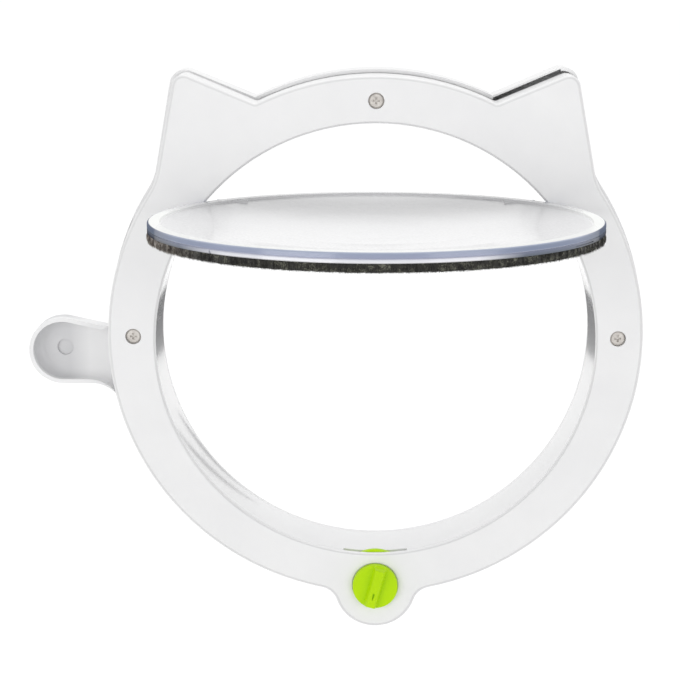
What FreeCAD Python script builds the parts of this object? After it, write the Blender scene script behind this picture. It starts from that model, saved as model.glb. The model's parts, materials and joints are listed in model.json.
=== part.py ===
import FreeCAD, Part
import math
import os

V = FreeCAD.Vector
os.makedirs("parts", exist_ok=True)

# Frame: origin on the tunnel axis in the plane where the front frame meets the door.
# X to the right, Y towards the rear side of the door, Z up.

# Tunnel, which sets the size of the rest
tunnel_r = 97.2
tunnel_wall = 1.8
tunnel_out_r = tunnel_r + tunnel_wall
opening_round = 1.3
seat_gap = 0.1
flange_lip = 2.4
flange_r = tunnel_out_r + flange_lip
flange_t = 1.5
collar_wall = 1.6
collar_gap = 0.3
collar_r = tunnel_out_r + collar_gap

# Outline shared by both frames: a ring with two ears and a slightly flatter jaw
ring_band = 20.4
ring_r = tunnel_r + ring_band
jaw_lift = 2.0
jaw_more = 0.4
jaw_r = ring_r + jaw_more
ear_height = 30.05
ear_tip_deg = 35.77
ear_base_deg = 55.0
ear_valley_deg = 26.2
ear_tip_round = 5.0
ear_base_round = 26.0
ear_valley_round = 2.4
skirt_wall = 1.6
face_wall = 2.2
edge_round = 1.8
far = 3 * ring_r

# Depths along Y
front_depth = 16.0
front_back_y = 0.0
front_face_y = front_back_y - front_depth
plate_back_y = front_face_y + face_wall
frame_gap = 1.0
rear_rim_y = front_back_y + frame_gap
rear_depth = 16.0
rear_face_y = rear_rim_y + rear_depth
rear_plate_in_y = rear_face_y - face_wall
tunnel_end_y = rear_plate_in_y

# Chin lobe and lock
knob_inset = 5.6
knob_z = knob_inset - ring_r
lobe_drop = 1.7
lobe_z = knob_z - lobe_drop
lobe_r = 18.4
lobe_round = 9.0
knob_r = 10.2
knob_face_gap = 0.3
knob_disc_t = 3.4
knob_edge_round = 0.8
knob_recess = 0.5
knob_recess_gap = 0.4
grip_len = 19.0
grip_w = 6.4
grip_top_w = 4.0
grip_h = 3.6
grip_tilt_deg = 15.0
grip_notch_w = 1.1
grip_notch_len = 3.6
grip_notch_z = -2.0
shaft_r = 3.0
shaft_play = 0.1
shaft_flat = 0.8
drum_gap = 0.3
drum_front_y = plate_back_y + drum_gap
cam_t = 1.8
cam_rise = 1.1
cam_r = cam_rise - knob_z - tunnel_r
tooth_rise = 4.0
tooth_tip_r = cam_r + tooth_rise
tooth_half_deg = 3.6
tooth_deg = -45.0
cam_hole_r = 2.6
cam_hole_pcd_r = 0.7 * cam_r
hub_r = 6.2
plate_t = 1.5
drum_end_y = front_back_y - plate_t - drum_gap
drum_screw_head_r = 2.9
drum_screw_head_h = 1.9
drum_screw_seat = 1.2
drum_screw_r = 1.2
drum_screw_len = 9.0
slot_half_x = 14.4
slot_margin = 0.5
flange_notch_x = 24.0
plate_screw_deg = 14.6
plate_screw_out = 9.6
plate_screw_pr = tunnel_out_r + plate_screw_out
plate_screw_r = 1.25
plate_screw_len = 9.0
plate_screw_head_r = 2.4
plate_screw_head_h = 1.5
plate_boss_r = 3.0
plate_half_x = 33.5

# Frame screws at twelve, three and nine o'clock
screw_out = 7.9
screw_pcd_r = tunnel_out_r + screw_out
screw_names = ("top", "right", "left")
screw_degs = (0.0, 88.6, 271.8)
counterbore_r = 3.5
counterbore_depth = 2.9
screw_head_r = 3.4
screw_head_h = 2.0
screw_head_edge = 0.7
screw_r = 1.9
screw_hole_r = 2.1
screw_tip_y = 12.0
boss_r = 4.9
insert_r = 2.9
insert_len = 8.0
insert_front_y = 3.6
cross_w = 0.9
cross_len = 3.0
cross_depth = 0.8

# Ribs inside the frames
rib_t = 1.5
rib_clear = 1.0
rib_in_r = flange_r + rib_clear
rib_degs = (16, 40, 66, 78, 102, 118, 134, 148, 212, 226, 242, 258, 282, 294, 320, 344)
rib_low = 2.5

# Rear frame, slightly larger and turned; a long gap stays open in its right ear's rim
rear_grow = 1.7
rear_turn_deg = 0.5
ear_slot_depth = 6.0
ear_slot_skin = 0.8
ear_slot_start = 0.4
ear_slot_end = 5.0
side_lobe_out = 23.5
side_lobe_x = -(ring_r + side_lobe_out)
side_lobe_z = -6.95
side_lobe_r = 15.1
side_lobe_wall = 1.8
side_lobe_depth = 10.0
side_lobe_floor = 2.0
side_lobe_bevel = 3.2
side_lobe_bowl = 4.4
side_lobe_fall_deg = 12.4
side_lobe_foot_round = 14.0
side_lobe_top_round = 2.0
side_hole_r = 3.7
side_hole_depth = 1.2

# Flap, drawn closed around its own disc axis; w runs from its front land to the rear
flap_open_deg = 91.1
flap_gap = 5.2
flap_r = tunnel_r - flap_gap
flap_centre_z = -1.0
pivot_drop = 36.4
pivot_z = tunnel_r - pivot_drop
pivot_y = -9.0
pivot_w = 2.5
rim_t = 4.0
rim_w = 5.2
rim_step = 0.9
dish_t = 1.8
dish_depth = 5.2
dish_steps = 4
rim_line = 0.35
rim_line_w = 2.1
rim_line_t = 0.6
rim_notch_deg = 221.6
rim_notch_w = 1.0
rim_notch_lean = 35.0
rim_groove_degs = (116.0, 126.0)
rim_groove_w = 3.1
rim_groove_t = 0.4
flap_half_x = math.sqrt(flap_r ** 2 - (pivot_z - flap_centre_z) ** 2)
barrel_r = 2.5
barrel_out_x = flap_half_x + 1.2
barrel_in_x = flap_half_x - 12.2
pin_r = 1.25
pin_in_x = flap_half_x - 8.2
pin_play = 0.04
bush_gap = 0.2
bush_in_x = math.sqrt(tunnel_r ** 2 - pivot_z ** 2) + bush_gap
bush_len = 5.4
bush_out_x = bush_in_x + bush_len
bush_cap = 0.6
bush_r = 2.6
bush_flange_r = 3.6
bush_flange_t = 0.6
bush_boss_r = 4.2
bush_boss_out_x = bush_out_x + 1.0
brush_t = 4.0
brush_w = 3.1
brush_inset = 0.3
brush_gap = 3.4

placed = {}


def cyl_y(r, y0, y1, x=0.0, z=0.0):
    return Part.makeCylinder(r, y1 - y0, V(x, y0, z), V(0, 1, 0))


def cyl_x(r, x0, x1, y=0.0, z=0.0):
    return Part.makeCylinder(r, x1 - x0, V(x0, y, z), V(1, 0, 0))


def tube_y(r_out, r_in, y0, y1):
    return cyl_y(r_out, y0, y1).cut(cyl_y(r_in, y0 - 1, y1 + 1))


def box(x0, x1, y0, y1, z0, z1):
    return Part.makeBox(x1 - x0, y1 - y0, z1 - z0, V(x0, y0, z0))


def on_circle(r, deg):
    a = math.radians(deg)
    return r * math.sin(a), r * math.cos(a)


def ring_point(r, deg):
    x, z = on_circle(r, deg)
    return V(x, 0, z)


def prism_y(points, y0, y1):
    wire = Part.makePolygon([V(x, y0, z) for x, z in points + points[:1]])
    return Part.Face(wire).extrude(V(0, y1 - y0, 0))


def turned(shape, deg, point, axis):
    copy = shape.copy()
    copy.rotate(point, axis, deg)
    return copy


def fuse_all(shapes):
    whole = shapes[0].multiFuse(shapes[1:]) if len(shapes) > 1 else shapes[0]
    return whole.removeSplitter()


def upright_edges(solid, depth, tests):
    found = []
    for edge in solid.Edges:
        a, b = edge.Vertexes[0].Point, edge.Vertexes[-1].Point
        if abs(abs(a.y - b.y) - depth) > 1e-3 or abs(a.x - b.x) + abs(a.z - b.z) > 1e-3:
            continue
        if any(math.hypot(a.x - x, a.z - z) < near for x, z, near in tests):
            found.append(edge)
    return found


def round_edges(solid, radius, tests, depth):
    edges = upright_edges(solid, depth, tests)
    return solid.makeFillet(radius, edges)


def unit(v):
    return V(v).normalize()


def line_to_ring(point, along, out, middle, r, rho):
    start = point + out * rho - middle
    half = start.dot(along)
    rest = start.dot(start) - (r + rho) ** 2
    t = -half - math.sqrt(half ** 2 - rest)
    centre = middle + start + along * t
    return point + along * t, centre, middle + unit(centre - middle) * r


def arc_between(centre, a, b):
    rho = (a - centre).Length
    middle = centre + unit((a - centre) + (b - centre)) * rho
    return Part.Arc(a, middle, b).toShape()


def half_outline(inset, chin):
    r, jaw = ring_r - inset, jaw_r - inset
    hub, jaw_mid = V(0, 0, 0), V(0, 0, jaw_lift)
    tip = ring_point(ring_r + ear_height, ear_tip_deg)
    valley, base = ring_point(ring_r, ear_valley_deg), ring_point(ring_r, ear_base_deg)
    u_in, u_out = unit(valley - tip), unit(base - tip)
    n_in, n_out = V(u_in.z, 0, -u_in.x), V(-u_out.z, 0, u_out.x)
    turn = math.acos(u_in.dot(u_out))
    core = tip + unit(u_in + u_out) * (ear_tip_round / math.sin(turn / 2))
    tip_r = ear_tip_round - inset
    p_in, p_out = core + n_in * tip_r, core + n_out * tip_r
    rho_in, rho_out = ear_valley_round + inset, ear_base_round + inset
    v_line, v_mid, v_ring = line_to_ring(p_in, u_in, n_in, hub, r, rho_in)
    b_line, b_mid, b_ring = line_to_ring(p_out, u_out, n_out, jaw_mid, jaw, rho_out)
    edges = [arc_between(v_mid, v_ring, v_line), Part.makeLine(v_line, p_in)]
    edges += [arc_between(core, p_in, p_out), Part.makeLine(p_out, b_line)]
    edges.append(arc_between(b_mid, b_line, b_ring))
    if not chin:
        return edges, v_ring, b_ring, None
    lobe, rho = lobe_r - inset, lobe_round + inset
    apart = jaw_lift - lobe_z
    down = ((jaw + rho) ** 2 - (lobe + rho) ** 2 + apart ** 2) / (2 * apart)
    centre = V(math.sqrt((jaw + rho) ** 2 - down ** 2), 0, jaw_lift - down)
    lobe_mid = V(0, 0, lobe_z)
    k_ring = jaw_mid + unit(centre - jaw_mid) * jaw
    k_lobe = lobe_mid + unit(centre - lobe_mid) * lobe
    edges.append(arc_between(jaw_mid, b_ring, k_ring))
    edges.append(arc_between(centre, k_ring, k_lobe))
    return edges, v_ring, b_ring, k_lobe


def outline(y0, y1, chin, inset=0.0):
    edges, v_ring, b_ring, k_lobe = half_outline(inset, chin)
    other = [e.mirror(V(0, 0, 0), V(1, 0, 0)) for e in edges]
    r = ring_r - inset
    top = Part.Arc(V(-v_ring.x, 0, v_ring.z), V(0, 0, r), v_ring).toShape()
    if chin:
        low = lobe_z - lobe_r + inset
        under = Part.Arc(k_lobe, V(0, 0, low), V(-k_lobe.x, 0, k_lobe.z)).toShape()
    else:
        low = jaw_lift - jaw_r + inset
        under = Part.Arc(b_ring, V(0, 0, low), V(-b_ring.x, 0, b_ring.z)).toShape()
    wire = Part.Wire(Part.__sortEdges__([top, under] + edges + other))
    wire.translate(V(0, y0, 0))
    solid = Part.Face(wire).extrude(V(0, y1 - y0, 0))
    if solid.Volume < 0:
        solid.reverse()
    return solid


def face_at(solid, y):
    faces = [f for f in solid.Faces if abs(f.CenterOfMass.y - y) < 1e-4]
    return max(faces, key=lambda f: f.Area)


def face_rim(solid, y):
    return list(face_at(solid, y).OuterWire.Edges)


def soften(solid, y, size):
    # Two bevels in place of a round of that size
    first, last = 0.62 * size, 0.25 * size
    solid = solid.makeChamfer(first, face_rim(solid, y))
    return solid.makeChamfer(last, face_rim(solid, y))


def ribs(y0, y1, limit):
    made = []
    for deg in rib_degs:
        bar = box(-rib_t / 2, rib_t / 2, y0, y1, rib_in_r, far)
        made.append(turned(bar, deg, V(0, 0, 0), V(0, 1, 0)))
    return fuse_all(made).common(limit)


def screw_axes():
    return [(name,) + on_circle(screw_pcd_r, deg) for name, deg in zip(screw_names, screw_degs)]


def plate_screw_axes():
    spots = (("right", 180.0 - plate_screw_deg), ("left", 180.0 + plate_screw_deg))
    return [(name,) + on_circle(plate_screw_pr, deg) for name, deg in spots]


def hinge_boss(side, r_out, limit_r):
    rod = cyl_x(r_out, flap_half_x, bush_boss_out_x, pivot_y, pivot_z)
    rod = rod.cut(cyl_y(limit_r, -far, far))
    if side < 0:
        rod = rod.mirror(V(0, 0, 0), V(1, 0, 0))
    return rod


def hinge_bore(side, r, x0=pin_in_x, x1=bush_boss_out_x + flange_t):
    rod = cyl_x(r, x0, x1, pivot_y, pivot_z)
    return rod if side > 0 else rod.mirror(V(0, 0, 0), V(1, 0, 0))


def opening_cut():
    # Two cones in place of a round on the opening's edge
    near, deep = 0.3 * opening_round, 0.75 * opening_round
    r0, r1, r2 = tunnel_r + deep, tunnel_r + near, tunnel_r
    along = V(0, 1, 0)
    outer = Part.makeCone(r0, r1, near, V(0, front_face_y, 0), along)
    inner = Part.makeCone(r1, r2, deep, V(0, front_face_y + near, 0), along)
    return outer.fuse(inner)


def make_front_frame():
    body = outline(front_face_y, front_back_y, True)
    cavity = outline(plate_back_y, front_back_y + 1, True, skirt_wall)
    body = soften(body, front_face_y, edge_round)
    body = body.cut(cavity)
    inner = cavity.common(cyl_y(far, plate_back_y, front_back_y - rib_low))
    parts = [body, ribs(plate_back_y, front_back_y - rib_low, inner)]
    for name, x, z in screw_axes():
        parts.append(cyl_y(boss_r, front_face_y + 1, front_back_y, x, z))
    for name, x, z in plate_screw_axes():
        post = cyl_y(plate_boss_r, front_face_y + 1, front_back_y - plate_t, x, z)
        parts.append(post)
    body = fuse_all(parts)
    body = body.cut(cyl_y(tunnel_r, -far, far)).cut(opening_cut())
    body = body.cut(cyl_y(tunnel_out_r + seat_gap, plate_back_y, far))
    for name, x, z in screw_axes():
        bore_y = front_face_y + counterbore_depth
        body = body.cut(cyl_y(counterbore_r, front_face_y - 1, bore_y, x, z))
        body = body.cut(cyl_y(screw_hole_r, -far, far, x, z))
    for name, x, z in plate_screw_axes():
        start_y = front_back_y - plate_screw_len - 1
        body = body.cut(cyl_y(plate_screw_r, start_y, front_back_y + 1, x, z))
    recess_y = front_face_y + knob_recess
    body = body.cut(cyl_y(knob_r + knob_recess_gap, front_face_y - 1, recess_y, 0, knob_z))
    body = body.cut(cyl_y(shaft_r + shaft_play, -far, plate_back_y + 1, 0, knob_z))
    for side in (-1, 1):
        body = body.cut(hinge_bore(side, bush_boss_r + 0.6))
    return body.removeSplitter()


def make_tunnel_liner():
    body = tube_y(tunnel_out_r, tunnel_r, plate_back_y, tunnel_end_y)
    flange = tube_y(flange_r, tunnel_r, plate_back_y, plate_back_y + flange_t)
    body = body.fuse(flange)
    for side in (-1, 1):
        body = body.fuse(hinge_boss(side, bush_boss_r, tunnel_out_r - 0.2))
        body = body.cut(hinge_bore(side, bush_r))
        cap_x = bush_in_x + bush_flange_t
        body = body.cut(hinge_bore(side, bush_flange_r, pin_in_x, cap_x))
    slot_y = drum_front_y + cam_t + slot_margin
    x = slot_half_x
    body = body.cut(box(-x, x, plate_back_y - 1, slot_y, -far, -tunnel_r / 2))
    notch = tube_y(flange_r + 1, tunnel_out_r, plate_back_y - 1, front_back_y)
    x = flange_notch_x
    body = body.cut(notch.common(box(-x, x, -far, far, -far, 0)))
    return body.removeSplitter()


def lobe_ring():
    # The rear frame's jaw circle, where the side lobe joins it
    middle = FreeCAD.Rotation(V(0, 1, 0), -rear_turn_deg).multVec(V(0, 0, jaw_lift))
    return middle, jaw_r + rear_grow


def side_lobe_shape(y0, y1, shrink):
    r = side_lobe_r - shrink
    middle, ring = lobe_ring()
    mid = V(side_lobe_x, 0, side_lobe_z)
    fall = math.radians(side_lobe_fall_deg)
    along, up = V(math.cos(fall), 0, -math.sin(fall)), V(math.sin(fall), 0, math.cos(fall))
    high, low = mid + up * r, mid - V(0, 0, r)
    reach = side_lobe_out + side_lobe_r
    pts = [high, high + along * reach, low + V(reach, 0, 0), low]
    bar = prism_y([(p.x, p.z) for p in pts], y0, y1)
    disc = cyl_y(r, y0, y1, mid.x, mid.z)
    core = cyl_y(ring, y0, y1, middle.x, middle.z)
    shape = fuse_all([disc, bar, core])
    spots = ((low, V(1, 0, 0), side_lobe_foot_round + shrink),
             (high, along, side_lobe_top_round + shrink))
    for start, run, radius in spots:
        half = (start - middle).dot(run)
        rest = (start - middle).dot(start - middle) - ring ** 2
        corner = start + run * (-half - math.sqrt(half ** 2 - rest))
        shape = round_edges(shape, radius, [(corner.x, corner.z, 0.5)], y1 - y0)
    return shape


def side_lobe_side(y0, y1):
    return box(-far, -tunnel_out_r, y0, y1, side_lobe_z - 60, side_lobe_z + 60)


def side_lobe_solid():
    end_y = rear_rim_y + side_lobe_depth
    shape = side_lobe_shape(rear_rim_y, end_y, 0.0)
    shape = soften(shape, end_y, side_lobe_bevel)
    return shape.common(side_lobe_side(rear_rim_y, end_y))


def side_lobe_pocket():
    floor_y = rear_rim_y + side_lobe_depth - side_lobe_floor
    pocket = side_lobe_shape(rear_rim_y - 1, floor_y, side_lobe_wall)
    pocket = pocket.makeFillet(side_lobe_bowl, face_rim(pocket, floor_y))
    middle, ring = lobe_ring()
    pocket = pocket.common(side_lobe_side(rear_rim_y - 1, floor_y))
    return pocket.cut(cyl_y(ring - skirt_wall / 4, -far, far, middle.x, middle.z))


def ear_slot():
    valley = ring_point(ring_r, ear_valley_deg)
    tip = ring_point(ring_r + ear_height, ear_tip_deg)
    rise = math.degrees(math.atan2(tip.z - valley.z, tip.x - valley.x))
    x1 = (tip - valley).Length - ear_slot_end
    top = rear_grow - ear_slot_skin
    low = -2 * skirt_wall
    slot = box(ear_slot_start, x1, rear_rim_y - 1, rear_rim_y + ear_slot_depth, low, top)
    slot.rotate(V(0, 0, 0), V(0, 1, 0), -rise)
    slot.translate(valley)
    slot.rotate(V(0, 0, 0), V(0, 1, 0), -rear_turn_deg)
    return slot


def make_rear_frame():
    body = outline(rear_rim_y, rear_face_y, False, -rear_grow)
    body.rotate(V(0, 0, 0), V(0, 1, 0), -rear_turn_deg)
    hollow = outline(rear_rim_y - 1, rear_plate_in_y, False, skirt_wall - rear_grow)
    hollow.rotate(V(0, 0, 0), V(0, 1, 0), -rear_turn_deg)
    body = soften(body, rear_face_y, edge_round)
    body = body.fuse(side_lobe_solid())
    body = body.cut(hollow).cut(side_lobe_pocket())
    inner = hollow.common(cyl_y(far, rear_rim_y + rib_low, rear_plate_in_y))
    parts = [body, ribs(rear_rim_y + rib_low, rear_plate_in_y, inner)]
    parts.append(tube_y(collar_r + collar_wall, collar_r, rear_rim_y, rear_face_y - 1))
    for name, x, z in screw_axes():
        parts.append(cyl_y(boss_r, rear_rim_y, rear_face_y - 1, x, z))
    body = fuse_all(parts)
    body = body.cut(cyl_y(tunnel_r, -far, far))
    body = body.cut(cyl_y(collar_r, -far, rear_plate_in_y))
    for name, x, z in screw_axes():
        body = body.cut(cyl_y(screw_hole_r, rear_rim_y - 1, screw_tip_y + 1, x, z))
        bore_end = insert_front_y + insert_len
        body = body.cut(cyl_y(insert_r, rear_rim_y - 1, bore_end, x, z))
    floor_y = rear_rim_y + side_lobe_depth - side_lobe_floor
    x, z = side_lobe_x, side_lobe_z
    body = body.cut(cyl_y(side_hole_r, floor_y - 1, floor_y + side_hole_depth, x, z))
    return body.cut(ear_slot()).removeSplitter()


def cross_recess(y, x, z):
    arms = box(-cross_len / 2, cross_len / 2, y, y + cross_depth, -cross_w / 2, cross_w / 2)
    other = box(-cross_w / 2, cross_w / 2, y, y + cross_depth, -cross_len / 2, cross_len / 2)
    both = arms.fuse(other)
    both.translate(V(x, 0, z))
    return both


def make_frame_screw(x, z):
    seat_y = front_face_y + counterbore_depth
    head = cyl_y(screw_head_r, seat_y - screw_head_h, seat_y, x, z)
    rim = [e for e in head.Edges if abs(e.CenterOfMass.y - (seat_y - screw_head_h)) < 1e-3]
    head = head.makeChamfer(screw_head_edge, rim[:1])
    shank = cyl_y(screw_r, seat_y - 0.5, screw_tip_y, x, z)
    tip = [e for e in shank.Edges if abs(e.CenterOfMass.y - screw_tip_y) < 1e-3]
    shank = shank.makeChamfer(0.5, tip[:1])
    return head.fuse(shank).cut(cross_recess(seat_y - screw_head_h - 0.01, x, z))


def make_screw_insert(x, z):
    y1 = insert_front_y + insert_len
    body = cyl_y(insert_r, insert_front_y, y1, x, z)
    return body.cut(cyl_y(screw_r, insert_front_y - 1, y1 + 1, x, z))


def make_lock_back_plate():
    slab = outline(front_back_y - plate_t, front_back_y, True, skirt_wall + 0.2)
    slab = slab.common(box(-plate_half_x, plate_half_x, -far, far, -far, -tunnel_r / 2))
    slab = slab.cut(cyl_y(flange_r + 0.2, -far, far))
    for name, x, z in plate_screw_axes():
        slab = slab.cut(cyl_y(plate_screw_r + 0.15, -far, far, x, z))
    return slab.removeSplitter()


def make_plate_screw(x, z):
    top_y = front_back_y + plate_screw_head_h
    head = cyl_y(plate_screw_head_r, front_back_y, top_y, x, z)
    rim = [e for e in head.Edges if abs(e.CenterOfMass.y - top_y) < 1e-3]
    head = head.makeChamfer(plate_screw_head_h / 3, rim[:1])
    shank = cyl_y(plate_screw_r, front_back_y - plate_screw_len, front_back_y + 0.5, x, z)
    slot = cross_recess(top_y + 0.01 - cross_depth, x, z)
    return head.fuse(shank).cut(slot)


def make_knob():
    y1 = front_face_y + knob_recess - knob_face_gap
    y0 = y1 - knob_disc_t
    disc = cyl_y(knob_r, y0, y1, 0, knob_z)
    disc = soften(disc, y0, knob_edge_round)
    half, top = grip_len / 2, y0 - grip_h
    wire = []
    for w, y, shrink in ((grip_w / 2, y0 + 0.4, 1.0), (grip_top_w / 2, top, 0.93)):
        z = half * shrink
        corners = [V(-w, y, -z), V(w, y, -z), V(w, y, z), V(-w, y, z), V(-w, y, -z)]
        wire.append(Part.makePolygon(corners))
    grip = Part.makeLoft(wire, True, True)
    crest = [e for e in grip.Edges if abs(e.CenterOfMass.y - top) < 1e-3 and e.Length > half]
    grip = grip.makeChamfer(0.5, crest)
    w, z = grip_notch_w / 2, grip_notch_z
    notch = prism_y([(-w, z), (w, z), (0.0, z - grip_notch_len)], top - 1, top + 0.9)
    grip = grip.cut(notch)
    grip.rotate(V(0, 0, 0), V(0, 1, 0), grip_tilt_deg)
    grip.translate(V(0, 0, knob_z))
    grip = grip.common(cyl_y(knob_r - 0.1, top - 2, 0, 0, knob_z))
    end_y = drum_end_y - drum_screw_head_h - drum_screw_seat
    shaft = cyl_y(shaft_r, y1 - 0.5, end_y, 0, knob_z)
    flat_z = knob_z - shaft_r + shaft_flat
    key_flat = box(-shaft_r - 1, shaft_r + 1, drum_front_y - 0.3, end_y + 1, -far, flat_z)
    hole_y = end_y - drum_screw_len + 2
    bore = cyl_y(drum_screw_r, hole_y, end_y + 1, 0, knob_z)
    return disc.fuse(grip).fuse(shaft).cut(key_flat).cut(bore).removeSplitter()


def make_cam_drum():
    disc = cyl_y(cam_r, drum_front_y, drum_front_y + cam_t)
    root, wide = cam_r - 1, tooth_half_deg * 1.6
    pts = [on_circle(root, tooth_deg - wide), on_circle(tooth_tip_r, tooth_deg - tooth_half_deg)]
    pts += [on_circle(tooth_tip_r, tooth_deg + tooth_half_deg), on_circle(root, tooth_deg + wide)]
    tooth = prism_y(pts, drum_front_y, drum_front_y + cam_t)
    hub = cyl_y(hub_r, drum_front_y, drum_end_y)
    body = fuse_all([disc, tooth, hub])
    for deg in (110, 180, 250):
        x, z = on_circle(cam_hole_pcd_r, deg)
        body = body.cut(cyl_y(cam_hole_r, -far, far, x, z))
    seat_y = drum_end_y - drum_screw_head_h - drum_screw_seat
    bore = cyl_y(shaft_r + 0.03, -far, seat_y)
    bore = bore.cut(box(-far, far, -far, far, -far, -shaft_r + shaft_flat - 0.03))
    body = body.cut(bore)
    body = body.cut(cyl_y(drum_screw_r + 0.15, -far, far))
    head_y = drum_end_y - drum_screw_head_h - 0.3
    body = body.cut(cyl_y(drum_screw_head_r + 0.2, head_y, drum_end_y + 1))
    body.translate(V(0, 0, knob_z))
    return body.removeSplitter()


def make_cam_screw():
    head_y = drum_end_y - drum_screw_head_h - 0.3
    head = cyl_y(drum_screw_head_r, head_y, head_y + drum_screw_head_h, 0, knob_z)
    shank = cyl_y(drum_screw_r, head_y - 0.9 - drum_screw_len + 3.2, head_y + 0.5, 0, knob_z)
    slot = cross_recess(head_y + drum_screw_head_h + 0.01 - cross_depth, 0, knob_z)
    return head.fuse(shank).cut(slot)


def flap_y(w):
    return pivot_y + w - pivot_w


def to_rest(shape):
    return turned(shape, -flap_open_deg, V(0, pivot_y, pivot_z), V(1, 0, 0))


def dish_line(r, w_mid, w_rim):
    # Straight steps along a circle centred on the disc axis
    deep = w_mid - w_rim
    ball = (r ** 2 + deep ** 2) / (2 * deep)
    radii = [r * k / dish_steps for k in range(dish_steps + 1)]
    pts = [V(x, w_mid - ball + math.sqrt(ball ** 2 - x ** 2), 0) for x in radii]
    return [Part.makeLine(a, b) for a, b in zip(pts, pts[1:])]


def panel_section():
    r0, r1 = flap_r - rim_w, flap_r
    back, under = dish_depth + dish_t, rim_t - 0.6
    mid, low = rim_line_w, rim_line_w + rim_line_t
    pts = [V(r0, rim_step, 0), V(r0 + 0.3, 0, 0), V(r1 - 0.5, 0, 0), V(r1, 0.5, 0),
           V(r1, mid, 0), V(r1 - rim_line, (mid + low) / 2, 0), V(r1, low, 0),
           V(r1, rim_t, 0), V(r0 - 0.6, rim_t, 0), V(r0 - 0.6, under, 0)]
    lines = [Part.makeLine(a, b) for a, b in zip(pts, pts[1:])]
    lines.append(Part.makeLine(V(0, back, 0), V(0, dish_depth, 0)))
    lines += dish_line(r0, dish_depth, rim_step) + dish_line(r0 - 0.6, back, under)
    return Part.Face(Part.Wire(Part.__sortEdges__(lines)))


def rim_marks():
    # A slanted notch at the left and a short groove at the right of the rim's outer wall
    w = rim_notch_w / 2
    notch = box(-w, w, rim_line_w + rim_line_t, rim_t + 1, flap_r - 0.5, flap_r + 1)
    notch.rotate(V(0, rim_t, flap_r), V(0, 0, 1), rim_notch_lean)
    notch.rotate(V(0, 0, 0), V(0, 1, 0), rim_notch_deg)
    groove = tube_y(flap_r + 1, flap_r - 0.4, rim_groove_w, rim_groove_w + rim_groove_t)
    start, end = rim_groove_degs
    pts = [(0.0, 0.0), on_circle(2 * flap_r, start), on_circle(2 * flap_r, end)]
    groove = groove.common(prism_y(pts, 0.0, rim_t + 1))
    return [notch, groove]


def make_flap_panel():
    body = panel_section().revolve(V(0, 0, 0), V(0, 1, 0), 360)
    for mark in rim_marks():
        body = body.cut(mark)
    body.translate(V(0, flap_y(0), flap_centre_z))
    parts = [body]
    for side in (-1, 1):
        rod = cyl_x(barrel_r, barrel_in_x, barrel_out_x, pivot_y, pivot_z)
        parts.append(rod if side > 0 else rod.mirror(V(0, 0, 0), V(1, 0, 0)))
    body = fuse_all(parts)
    for side in (-1, 1):
        body = body.cut(hinge_bore(side, pin_r))
    return body.removeSplitter()


def make_brush(upper):
    r1 = flap_r - brush_inset
    r0 = r1 - brush_w
    y0, y1 = flap_y(rim_t), flap_y(rim_t + brush_t)
    ring = tube_y(r1, r0, y0, y1)
    ring.translate(V(0, 0, flap_centre_z))
    if upper:
        keep = box(-far, far, -far, far, pivot_z + brush_gap, far)
    else:
        keep = box(-far, far, -far, far, -far, pivot_z - brush_gap)
    return ring.common(keep)


def make_hinge_pin(side):
    rod = cyl_x(pin_r, pin_in_x, bush_out_x - bush_cap - 0.2, pivot_y, pivot_z)
    return rod if side > 0 else rod.mirror(V(0, 0, 0), V(1, 0, 0))


def make_hinge_bush(side):
    body = cyl_x(bush_r, bush_in_x, bush_out_x, pivot_y, pivot_z)
    cap_x = bush_in_x + bush_flange_t
    body = body.fuse(cyl_x(bush_flange_r - 0.1, bush_in_x, cap_x, pivot_y, pivot_z))
    bore_x = bush_out_x - bush_cap
    body = body.cut(cyl_x(pin_r + pin_play, pin_in_x, bore_x, pivot_y, pivot_z))
    return body if side > 0 else body.mirror(V(0, 0, 0), V(1, 0, 0))


def save(name, shape):
    solids = shape.Solids
    if len(solids) != 1 or not shape.isValid():
        print("CHECK", name, "solids", len(solids), "valid", shape.isValid())
    placed[name] = solids[0] if len(solids) == 1 else shape
    placed[name].exportStep("parts/" + name + ".step")
    b = placed[name].BoundBox
    print(name, [round(v, 1) for v in (b.XMin, b.XMax, b.YMin, b.YMax, b.ZMin, b.ZMax)])


save("front_frame", make_front_frame())
save("tunnel_liner", make_tunnel_liner())
save("rear_frame", make_rear_frame())
for name, x, z in screw_axes():
    save("frame_screw_" + name, make_frame_screw(x, z))
    save("screw_insert_" + name, make_screw_insert(x, z))
save("lock_back_plate", make_lock_back_plate())
for name, x, z in plate_screw_axes():
    save("lock_plate_screw_" + name, make_plate_screw(x, z))
save("lock_knob", make_knob())
save("cam_drum", make_cam_drum())
save("cam_screw", make_cam_screw())
save("flap_panel", to_rest(make_flap_panel()))
save("brush_lower", to_rest(make_brush(False)))
save("brush_upper", to_rest(make_brush(True)))
for name, side in (("right", 1), ("left", -1)):
    save("hinge_pin_" + name, to_rest(make_hinge_pin(side)))
    save("hinge_bush_" + name, make_hinge_bush(side))
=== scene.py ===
import json
import math
import random
import bpy
from mathutils import Matrix, Vector


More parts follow.
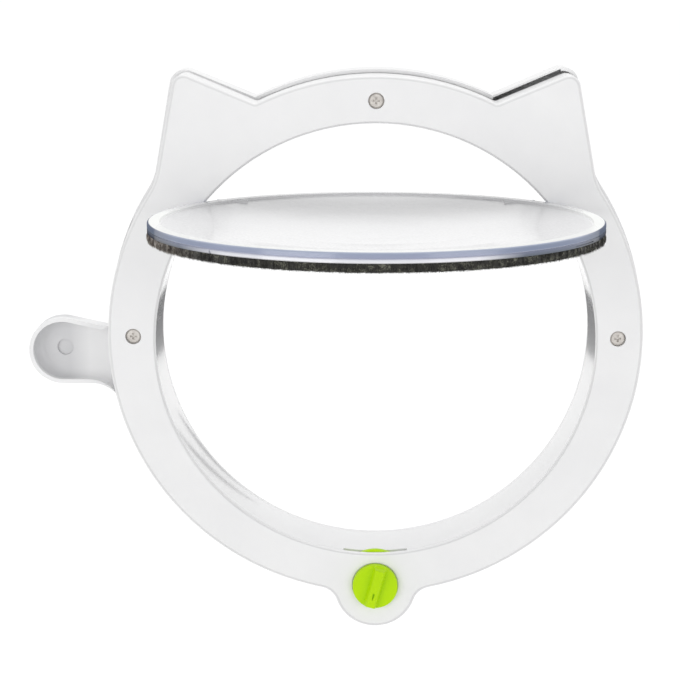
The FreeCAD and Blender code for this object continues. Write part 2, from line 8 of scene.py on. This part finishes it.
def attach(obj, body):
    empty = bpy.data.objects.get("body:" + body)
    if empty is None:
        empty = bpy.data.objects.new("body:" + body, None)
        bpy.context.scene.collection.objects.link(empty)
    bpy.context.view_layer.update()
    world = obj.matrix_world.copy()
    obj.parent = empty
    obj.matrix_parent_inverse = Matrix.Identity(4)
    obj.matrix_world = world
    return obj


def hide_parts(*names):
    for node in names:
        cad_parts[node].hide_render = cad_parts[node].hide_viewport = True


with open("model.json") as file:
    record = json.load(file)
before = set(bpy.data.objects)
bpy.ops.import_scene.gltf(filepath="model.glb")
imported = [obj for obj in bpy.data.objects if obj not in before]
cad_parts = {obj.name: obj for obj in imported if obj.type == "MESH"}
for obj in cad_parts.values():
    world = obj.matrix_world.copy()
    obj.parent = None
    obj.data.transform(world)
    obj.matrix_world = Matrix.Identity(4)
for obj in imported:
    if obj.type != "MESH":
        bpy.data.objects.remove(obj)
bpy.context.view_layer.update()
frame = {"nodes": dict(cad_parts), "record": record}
nodes = frame["nodes"]
scene = bpy.context.scene
scene.view_settings.view_transform = "Standard"

white = (1.0, 1.0, 1.0)

# The flap is laid out closed, on its disc axis, and swung open about its hinge. Between the
# two distances of rim_ends from the middle, the rim's edge turns away from the viewer
hinge = Vector((0.0, -0.009, 0.0608))
flap_open = math.radians(91.1)
disc_z = -0.001
rim_face_y = -0.0115
rim_t = 0.004
rim_out_r = 0.092
rim_ends = (0.076, 0.086)
brush_y = rim_face_y + rim_t
brush_t = 0.004
brush_w = 0.0031
brush_r = 0.0917
brush_gap = 0.0034
to_rest = (Matrix.Translation(hinge) @ Matrix.Rotation(-flap_open, 4, "X")
           @ Matrix.Translation(-hinge))


def add(tree, kind, **settings):
    node = tree.nodes.new(kind)
    for key, value in settings.items():
        setattr(node, key, value)
    return node


def feed(tree, source, socket):
    # Another node's output is linked, a plain value is set on the socket itself
    if isinstance(source, bpy.types.NodeSocket):
        tree.links.new(source, socket)
    else:
        socket.default_value = source


def maths(tree, operation, *values):
    node = add(tree, "ShaderNodeMath", operation=operation)
    for value, socket in zip(values, node.inputs):
        feed(tree, value, socket)
    return node.outputs["Value"]


def vector_maths(tree, operation, output, *values):
    node = add(tree, "ShaderNodeVectorMath", operation=operation)
    for value, socket in zip(values, node.inputs):
        feed(tree, value, socket)
    return node.outputs[output]


def split(tree, vector):
    node = add(tree, "ShaderNodeSeparateXYZ")
    tree.links.new(vector, node.inputs["Vector"])
    return node.outputs


def noise(tree, where, scale, detail=3.0, rough=0.55):
    node = add(tree, "ShaderNodeTexNoise")
    node.inputs["Scale"].default_value = scale
    node.inputs["Detail"].default_value = detail
    node.inputs["Roughness"].default_value = rough
    tree.links.new(where, node.inputs["Vector"])
    return node.outputs["Fac"]


def ramp(tree, factor, stops):
    node = add(tree, "ShaderNodeValToRGB")
    band = node.color_ramp
    while len(band.elements) < len(stops):
        band.elements.new(0.5)
    for element, (place, colour) in zip(band.elements, stops):
        element.position = place
        element.color = (*colour, 1.0)
    tree.links.new(factor, node.inputs["Fac"])
    return node.outputs["Color"]


def spread(tree, factor, low, high, out_low=0.0, out_high=1.0):
    node = add(tree, "ShaderNodeMapRange")
    node.inputs["From Min"].default_value = low
    node.inputs["From Max"].default_value = high
    node.inputs["To Min"].default_value = out_low
    node.inputs["To Max"].default_value = out_high
    tree.links.new(factor, node.inputs["Value"])
    return node.outputs["Result"]


def blend(tree, factor, first, second, kind="MIX"):
    node = add(tree, "ShaderNodeMix", data_type="RGBA", blend_type=kind)
    feed(tree, factor, node.inputs["Factor"])
    feed(tree, first, node.inputs["A"])
    feed(tree, second, node.inputs["B"])
    return node.outputs["Result"]


def bump(tree, shader, height, strength, distance):
    node = add(tree, "ShaderNodeBump")
    node.inputs["Strength"].default_value = strength
    node.inputs["Distance"].default_value = distance
    tree.links.new(height, node.inputs["Height"])
    tree.links.new(node.outputs["Normal"], shader.inputs["Normal"])


def roughen(tree, shader, fine, low, high):
    tree.links.new(spread(tree, fine, 0.3, 0.7, low, high), shader.inputs["Roughness"])


def new_material(name):
    mat = bpy.data.materials.new(name)
    mat.use_nodes = True
    tree = mat.node_tree
    tree.nodes.clear()
    out = add(tree, "ShaderNodeOutputMaterial")
    shader = add(tree, "ShaderNodeBsdfPrincipled")
    tree.links.new(shader.outputs["BSDF"], out.inputs["Surface"])
    coord = add(tree, "ShaderNodeTexCoord")
    return mat, tree, shader, coord.outputs["Object"]


def paint_frame_shade(tree, where, colour):
    # Painted shade: a soft grey line along the front face's outer edge, and painted shade in
    # the side lobe's far end
    line_start_y, line_range_y = -0.0160, 0.0020
    hollow_mouth_y, hollow_deep_y = 0.0022, 0.0050
    shade_start_x, shade_full_x = -0.1300, -0.1390
    place = split(tree, where)
    depth = spread(tree, place["Y"], line_start_y, line_range_y)
    # Painted shade: the soft grey line on the front face's outer edge
    painted_edge_line = ramp(tree, depth, [(0.001, white), (0.008, (0.84, 0.84, 0.84)),
                              (0.026, (0.88, 0.88, 0.88)), (0.045, white)])
    inside = spread(tree, place["Y"], hollow_mouth_y, hollow_deep_y)
    outward = spread(tree, place["X"], shade_start_x, shade_full_x)
    # Painted shade in the side lobe's hollow, growing towards its far end
    painted_shade = blend(tree, maths(tree, "MULTIPLY", inside, outward), painted_edge_line, (0.76, 0.76, 0.77, 1.0))
    return blend(tree, 1.0, colour, painted_shade, "MULTIPLY")


def moulded(name, dark, pale, rough, grain=2600.0, depth=0.00002, coat=0.0, gleam=0.5,
            with_painted_shade=False):
    mat, tree, shader, where = new_material(name)
    cloud = noise(tree, where, 34.0, 2.0)
    fine = noise(tree, where, grain, 2.0)
    colour = ramp(tree, cloud, [(0.32, dark), (0.68, pale)])
    # The frame's colour takes painted shade on its front edge and in the side lobe
    if with_painted_shade:
        colour = paint_frame_shade(tree, where, colour)
    tree.links.new(colour, shader.inputs["Base Color"])
    roughen(tree, shader, fine, rough - 0.04, rough + 0.05)
    shader.inputs["IOR"].default_value = 1.49
    shader.inputs["Coat Weight"].default_value = coat
    shader.inputs["Coat Roughness"].default_value = 0.06
    shader.inputs["Specular IOR Level"].default_value = gleam
    bump(tree, shader, fine, 0.25, depth)
    return mat


def metal(name, dark, pale, rough, metallic=1.0):
    mat, tree, shader, where = new_material(name)
    cloud = noise(tree, where, 420.0, 3.0)
    scratch = noise(tree, where, 2400.0, 2.0)
    tree.links.new(ramp(tree, cloud, [(0.3, dark), (0.7, pale)]), shader.inputs["Base Color"])
    roughen(tree, shader, scratch, rough - 0.07, rough + 0.08)
    shader.inputs["Metallic"].default_value = metallic
    bump(tree, shader, scratch, 0.2, 0.00003)
    return mat


def rim_tint_and_painted_light(tree, place, cloud, reach):
    # Clear blue-grey plastic tint with painted highlight bands from the rim's front to its back,
    # and painted shade, darker towards the flanks and darkest at the two ends
    flank_start, flank_full, flank_shift = 0.046, 0.064, 0.010
    depth_y = maths(tree, "MULTIPLY_ADD", cloud, 0.0003, place["Y"])
    depth = spread(tree, depth_y, rim_face_y, rim_face_y + rim_t)
    # middle: the blue-grey tint, with painted highlights at the rim's front and near its back
    middle = ramp(tree, depth, [(0.0, (0.70, 0.73, 0.79)), (0.09, (0.36, 0.40, 0.51)),
                                (0.18, (0.28, 0.32, 0.44)), (0.56, (0.29, 0.32, 0.45)),
                                (0.68, (0.66, 0.67, 0.74)), (0.94, (0.80, 0.80, 0.84)),
                                (1.0, (0.45, 0.45, 0.47))])
    # Painted shade on the flanks
    flank_painted_shade = ramp(tree, depth, [(0.0, (0.66, 0.69, 0.76)), (0.08, (0.34, 0.38, 0.50)),
                               (0.16, (0.22, 0.26, 0.37)), (0.50, (0.20, 0.24, 0.36)),
                               (0.60, (0.42, 0.45, 0.55)), (0.72, (0.15, 0.17, 0.25)),
                               (0.98, (0.10, 0.12, 0.16))])
    # end: painted shade, darkest at the two ends where the edge turns away
    end = ramp(tree, depth, [(0.0, (0.42, 0.45, 0.50)), (0.06, (0.16, 0.18, 0.24)),
                             (0.20, (0.15, 0.175, 0.24)), (0.50, (0.15, 0.18, 0.24)),
                             (0.62, (0.20, 0.22, 0.27)), (0.72, (0.12, 0.135, 0.17)),
                             (0.98, (0.05, 0.055, 0.07))])
    beside = maths(tree, "ABSOLUTE", maths(tree, "ADD", place["X"], flank_shift))
    on_flank = spread(tree, beside, flank_start, flank_full)
    # Painted shade takes over towards the flanks and at the two ends
    return blend(tree, spread(tree, reach, *rim_ends), blend(tree, on_flank, middle, flank_painted_shade), end)


def dish_tint_and_painted_light(tree, place, cloud, radius):
    # A white dish with painted shade, greyer towards the hinge, and a painted highlight on the
    # flat rim on the side away from it
    land_start, land_full = rim_out_r - 0.0056, rim_out_r - 0.0050
    near_z, far_z = 0.012, 0.040
    low_z, high_z = -0.09, 0.09
    # Painted shade: the dish greys towards the hinge
    height = maths(tree, "MULTIPLY_ADD", cloud, 0.02, place["Z"])
    dish_painted_shade = ramp(tree, spread(tree, height, low_z, high_z),
                [(0.0, (0.90, 0.90, 0.905)), (0.30, (0.88, 0.88, 0.888)),
                 (0.60, (0.77, 0.77, 0.78)), (0.80, (0.60, 0.60, 0.61)),
                 (1.0, (0.64, 0.64, 0.65))])
    # lit: where the painted highlight lies on the flat rim, full on the near side, faint towards
    # the hinge
    land = spread(tree, radius, land_start, land_full)
    lit = maths(tree, "MULTIPLY", land, spread(tree, place["Z"], near_z, far_z, 1.0, 0.12))
    rim_land_painted_highlight = ramp(tree, cloud, [(0.3, (0.90, 0.91, 0.90)), (0.7, (0.93, 0.94, 0.92))])
    return blend(tree, lit, dish_painted_shade, rim_land_painted_highlight)


def flap_plastic():
    # The place on the closed flap sets the tint, the painted shade and the painted highlights
    edge_start, edge_full = rim_out_r - 0.0008, rim_out_r - 0.0005
    mat, tree, shader, where = new_material("flap_clear")
    swing = add(tree, "ShaderNodeVectorRotate", rotation_type="X_AXIS")
    swing.inputs["Center"].default_value = hinge
    swing.inputs["Angle"].default_value = flap_open
    tree.links.new(where, swing.inputs["Vector"])
    closed = swing.outputs["Vector"]
    place = split(tree, closed)
    cloud = noise(tree, where, 26.0, 2.0)
    reach = maths(tree, "ABSOLUTE", place["X"])
    centred = vector_maths(tree, "ADD", "Vector", closed, (0.0, 0.0, -disc_z))
    flat = vector_maths(tree, "MULTIPLY", "Vector", centred, (1.0, 0.0, 1.0))
    radius = vector_maths(tree, "LENGTH", "Value", flat)
    colour = blend(tree, spread(tree, radius, edge_start, edge_full),
                   dish_tint_and_painted_light(tree, place, cloud, radius), rim_tint_and_painted_light(tree, place, cloud, reach))
    tree.links.new(colour, shader.inputs["Base Color"])
    roughen(tree, shader, noise(tree, where, 900.0, 2.0), 0.14, 0.24)
    shader.inputs["IOR"].default_value = 1.5
    tree.links.new(spread(tree, reach, *rim_ends, 0.5, 0.0), shader.inputs["Specular IOR Level"])
    tree.links.new(spread(tree, reach, *rim_ends, 0.2, 0.0), shader.inputs["Coat Weight"])
    shader.inputs["Coat Roughness"].default_value = 0.05
    bump(tree, shader, cloud, 0.15, 0.0002)
    return mat


def pile_fibre():
    # Dark speckled pile, paler and browner towards its left end
    pale_left_start_x, pale_left_full_x = -0.066, -0.090
    mat, tree, shader, where = new_material("brush_pile")
    patch = noise(tree, where, 330.0, 3.0, 0.65)
    speck = noise(tree, where, 2100.0, 2.0, 0.7)
    mottle = maths(tree, "MULTIPLY_ADD", speck, 0.75, patch)
    dark_pile = ramp(tree, mottle, [(0.62, (0.004, 0.004, 0.003)), (0.90, (0.014, 0.013, 0.009)),
                                (1.06, (0.050, 0.050, 0.036)), (1.22, (0.13, 0.13, 0.10))])
    pale_left = ramp(tree, mottle, [(0.62, (0.05, 0.040, 0.034)), (0.90, (0.16, 0.13, 0.11)),
                               (1.16, (0.42, 0.38, 0.34))])
    end = spread(tree, split(tree, where)["X"], pale_left_start_x, pale_left_full_x)
    tree.links.new(blend(tree, end, dark_pile, pale_left), shader.inputs["Base Color"])
    roughen(tree, shader, speck, 0.7, 0.95)
    shader.inputs["Sheen Weight"].default_value = 0.25
    shader.inputs["Sheen Roughness"].default_value = 0.5
    bump(tree, shader, speck, 0.4, 0.0001)
    return mat


looks = {
    # The frame carries painted shade on its front edge and in the side lobe's hollow
    "frame_white": moulded("frame_white", (0.83, 0.83, 0.835), (0.86, 0.86, 0.862), 0.34,
                           with_painted_shade=True),
    "liner_white": moulded("liner_white", (0.84, 0.84, 0.845), (0.875, 0.875, 0.88), 0.10,
                           grain=700.0, depth=0.00004, coat=0.6),
    "knob_lime": moulded("knob_lime", (0.46, 0.74, 0.0), (0.53, 0.80, 0.0), 0.42, gleam=0.2),
    "bush_plastic": moulded("bush_plastic", (0.62, 0.62, 0.62), (0.70, 0.70, 0.70), 0.4),
    "screw_steel": metal("screw_steel", (0.52, 0.49, 0.46), (0.68, 0.65, 0.61), 0.5, 0.35),
    "pin_steel": metal("pin_steel", (0.52, 0.52, 0.53), (0.66, 0.66, 0.67), 0.25),
    "insert_brass": metal("insert_brass", (0.62, 0.44, 0.16), (0.78, 0.58, 0.26), 0.32),
    "flap_clear": flap_plastic(),
    "brush_pile": pile_fibre(),
}
slot_of = {s["node"]: s["material_slot"] for s in frame["record"]["subparts"]}
for name, obj in nodes.items():
    obj.data.materials.clear()
    obj.data.materials.append(looks[slot_of[name]])


def tube_skin(verts, faces, rows):
    # Rows of equal length, joined side to side into a skin that is closed at both ends
    n = len(rows[0])
    base = len(verts)
    for row in rows:
        verts.extend(row)
    for i in range(len(rows) - 1):
        for j in range(n):
            a = base + i * n + j
            b = base + i * n + (j + 1) % n
            faces.append((a, b, b + n, a + n))
    faces.append(tuple(base + j for j in reversed(range(n))))
    end = base + (len(rows) - 1) * n
    faces.append(tuple(end + j for j in range(n)))


def fibre(verts, faces, root, tip, lean, thick):
    # A tapered strand of three sides, bent once half way
    side = (tip - root).cross(lean + Vector((1e-6, 0.0, 0.0))).normalized()
    fore = (tip - root).cross(side).normalized()
    middle = (root + tip) / 2 + lean * 0.35
    base = len(verts)
    for point, width in ((root, thick), (middle, thick * 0.75)):
        for k in range(3):
            angle = k * 2 * math.pi / 3
            verts.append(point + (side * math.cos(angle) + fore * math.sin(angle)) * width)
    verts.append(tip)
    for k in range(3):
        a, b = base + k, base + (k + 1) % 3
        faces.append((a, b, b + 3, a + 3))
        faces.append((a + 3, b + 3, base + 6))
    faces.append((base + 2, base + 1, base))


# The felt under the fibres: shares of the brush's width and of the pile's length
felt = [(0.10, 0.0), (0.9, 0.0), (0.98, 0.3), (0.95, 0.62), (0.84, 0.82), (0.5, 0.9),
        (0.18, 0.84), (0.06, 0.62), (0.03, 0.3)]
tuft = 4


def pile(name, node, upper, count, steps, seed):
    # One length of the brush, on the rim's back, from hinge barrel to hinge barrel
    rng = random.Random(seed)
    cut = (hinge.z + brush_gap if upper else hinge.z - brush_gap) - disc_z
    turn = math.acos(cut / brush_r)
    start, end = (-turn, turn) if upper else (turn, 2 * math.pi - turn)
    verts, faces, rows = [], [], []
    for i in range(steps + 1):
        angle = start + (end - start) * (i + 0.5) / (steps + 1)
        row = []
        for across, deep in felt:
            r = brush_r - brush_w * (1 - across) + rng.uniform(-1, 1) * 0.00012
            y = brush_y + brush_t * deep * rng.uniform(0.92, 1.03)
            row.append(Vector((r * math.sin(angle), y, disc_z + r * math.cos(angle))))
        rows.append(row)
    tube_skin(verts, faces, rows)
    fore = Vector((0.0, 1.0, 0.0))
    for _ in range(count // tuft):
        angle = rng.uniform(start + 0.004, end - 0.004)
        across = rng.random()
        r = brush_r - brush_w * (0.06 + 0.88 * across)
        out = Vector((math.sin(angle), 0.0, math.cos(angle)))
        along = Vector((out.z, 0.0, -out.x))
        root = out * r + Vector((0.0, brush_y + 0.0001, disc_z))
        bias = out * (0.5 - across) * 0.0009 + along * rng.uniform(-0.0006, 0.0006)
        for _ in range(tuft):
            lean = bias + out * rng.uniform(-0.0003, 0.0004) + along * rng.gauss(0, 0.0004)
            foot = (root + out * rng.uniform(-0.0002, 0.0002)
                    + along * rng.uniform(-0.0003, 0.0003))
            tip = foot + lean + fore * (brush_t * rng.uniform(0.84, 0.985))
            fibre(verts, faces, foot, tip, lean, rng.uniform(0.0001, 0.00016))
    mesh = bpy.data.meshes.new(name)
    mesh.from_pydata([tuple(to_rest @ v) for v in verts], [], faces)
    mesh.validate()
    obj = bpy.data.objects.new(name, mesh)
    scene.collection.objects.link(obj)
    mesh.materials.append(looks["brush_pile"])
    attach(obj, "flap")
    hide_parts(node)


pile("pile_lower", "brush_lower", False, count=17600, steps=260, seed=5)
pile("pile_upper", "brush_upper", True, count=4600, steps=90, seed=9)


def emitter(tree, kind, strength):
    node = add(tree, kind)
    node.inputs["Color"].default_value = (*white, 1.0)
    node.inputs["Strength"].default_value = strength
    return node


def light_mix(tree, seen, lit):
    # seen for camera, mirror and glass rays, lit for all the rest
    path = add(tree, "ShaderNodeLightPath")
    direct = maths(tree, "MAXIMUM", path.outputs["Is Camera Ray"], path.outputs["Is Glossy Ray"])
    every = maths(tree, "MAXIMUM", direct, path.outputs["Is Transmission Ray"])
    mix = add(tree, "ShaderNodeMixShader")
    tree.links.new(every, mix.inputs["Fac"])
    tree.links.new(lit, mix.inputs[1])
    tree.links.new(seen, mix.inputs[2])
    return mix.outputs["Shader"]


def studio_world(seen_strength, lit_strength):
    world = bpy.data.worlds.new("studio")
    scene.world = world
    world.use_nodes = True
    tree = world.node_tree
    tree.nodes.clear()
    seen = emitter(tree, "ShaderNodeBackground", seen_strength)
    lit = emitter(tree, "ShaderNodeBackground", lit_strength)
    out = add(tree, "ShaderNodeOutputWorld")
    tree.links.new(light_mix(tree, seen.outputs["Background"], lit.outputs["Background"]),
                   out.inputs["Surface"])


def studio_floor(half, z):
    # Almost as pale as the background where it is seen, with a thin share that takes shadow
    mesh = bpy.data.meshes.new("floor")
    mesh.from_pydata([(-half, -half, z), (half, -half, z), (half, half, z), (-half, half, z)],
                     [], [(0, 1, 2, 3)])
    obj = bpy.data.objects.new("floor", mesh)
    scene.collection.objects.link(obj)
    mat = bpy.data.materials.new("floor_pale")
    mat.use_nodes = True
    tree = mat.node_tree
    tree.nodes.clear()
    glow = emitter(tree, "ShaderNodeEmission", 0.86)
    thin = add(tree, "ShaderNodeBsdfDiffuse")
    thin.inputs["Color"].default_value = (0.24, 0.24, 0.24, 1.0)
    seen = add(tree, "ShaderNodeAddShader")
    tree.links.new(glow.outputs["Emission"], seen.inputs[0])
    tree.links.new(thin.outputs["BSDF"], seen.inputs[1])
    lit = add(tree, "ShaderNodeBsdfDiffuse")
    lit.inputs["Color"].default_value = (0.8, 0.8, 0.8, 1.0)
    out = add(tree, "ShaderNodeOutputMaterial")
    tree.links.new(light_mix(tree, seen.outputs["Shader"], lit.outputs["BSDF"]),
                   out.inputs["Surface"])
    mesh.materials.append(mat)


studio_world(seen_strength=1.0, lit_strength=0.73)
studio_floor(half=40, z=-0.26)


def dark_card(name, verts, faces):
    # Seen only in polished surfaces, as the dark things around a real studio are
    mesh = bpy.data.meshes.new(name)
    mesh.from_pydata(verts, [], faces)
    obj = bpy.data.objects.new(name, mesh)
    scene.collection.objects.link(obj)
    mat = bpy.data.materials.new(name)
    mat.use_nodes = True
    tree = mat.node_tree
    tree.nodes.clear()
    dull = add(tree, "ShaderNodeBsdfDiffuse")
    dull.inputs["Color"].default_value = (0.06, 0.06, 0.065, 1.0)
    out = add(tree, "ShaderNodeOutputMaterial")
    tree.links.new(dull.outputs["BSDF"], out.inputs["Surface"])
    mesh.materials.append(mat)
    obj.visible_camera = False
    obj.visible_diffuse = False
    obj.visible_transmission = False
    obj.visible_shadow = False


def arc_card(name, y, r, width, start, end, steps=24):
    # Narrow at both ends, wide in the middle; degrees from +X, counter-clockwise from the front
    verts, faces = [], []
    for i in range(steps + 1):
        angle = math.radians(start + (end - start) * i / steps)
        half = width / 2 * math.sin(math.pi * (i + 0.3) / (steps + 0.6))
        for rad in (r - half, r + half):
            verts.append((rad * math.cos(angle), y, rad * math.sin(angle)))
    for i in range(steps):
        faces.append((2 * i, 2 * i + 1, 2 * i + 3, 2 * i + 2))
    dark_card(name, verts, faces)


# Two thin arcs behind the tunnel's lower left, and a dark patch far behind the frame
arc_card("card_low_inner", y=0.045, r=0.0895, width=0.0022, start=206.0, end=252.0)
arc_card("card_low_outer", y=0.045, r=0.0855, width=0.0015, start=210.0, end=240.0)
dark_card("card_back", [(-0.07, 1.0, -0.235), (0.06, 1.0, -0.235), (0.06, 1.0, -0.15),
                        (-0.07, 1.0, -0.15)], [(0, 1, 2, 3)])


def area_light(name, place, aim, power, size=1.2):
    lamp = bpy.data.lights.new(name, "AREA")
    lamp.shape = "DISK"
    lamp.size = size
    lamp.energy = power
    obj = bpy.data.objects.new(name, lamp)
    obj.location = place
    obj.rotation_euler = (Vector(aim) - Vector(place)).to_track_quat("-Z", "Y").to_euler()
    scene.collection.objects.link(obj)


area_light("key", (-1.1, -1.5, -0.1), (0, 0, -0.05), power=10.5)
area_light("fill", (1.2, -1.4, 0.0), (0, 0, -0.05), power=6.6)
area_light("over", (0.1, 0.4, 1.6), (0, -0.05, 0), power=9.4)

# Camera fitted to the ring, screw holes, knob and the flap's outline
azimuth, elevation, roll = math.radians(-0.229), math.radians(12.45), math.radians(0.14)
distance = 0.8034
lens = bpy.data.cameras.new("camera")
lens.lens = 94.55
lens.sensor_width = 36.0
lens.shift_x = -0.0523
lens.shift_y = -0.005
lens.clip_start = 0.02
lens.clip_end = 200.0
camera = bpy.data.objects.new("camera", lens)
outward = Vector((math.sin(azimuth) * math.cos(elevation),
                  -math.cos(azimuth) * math.cos(elevation), math.sin(elevation)))
camera.location = outward * distance
look = (-outward).to_track_quat("-Z", "Y").to_matrix()
camera.rotation_euler = (look @ Matrix.Rotation(roll, 3, "Z")).to_euler()
scene.collection.objects.link(camera)
scene.camera = camera
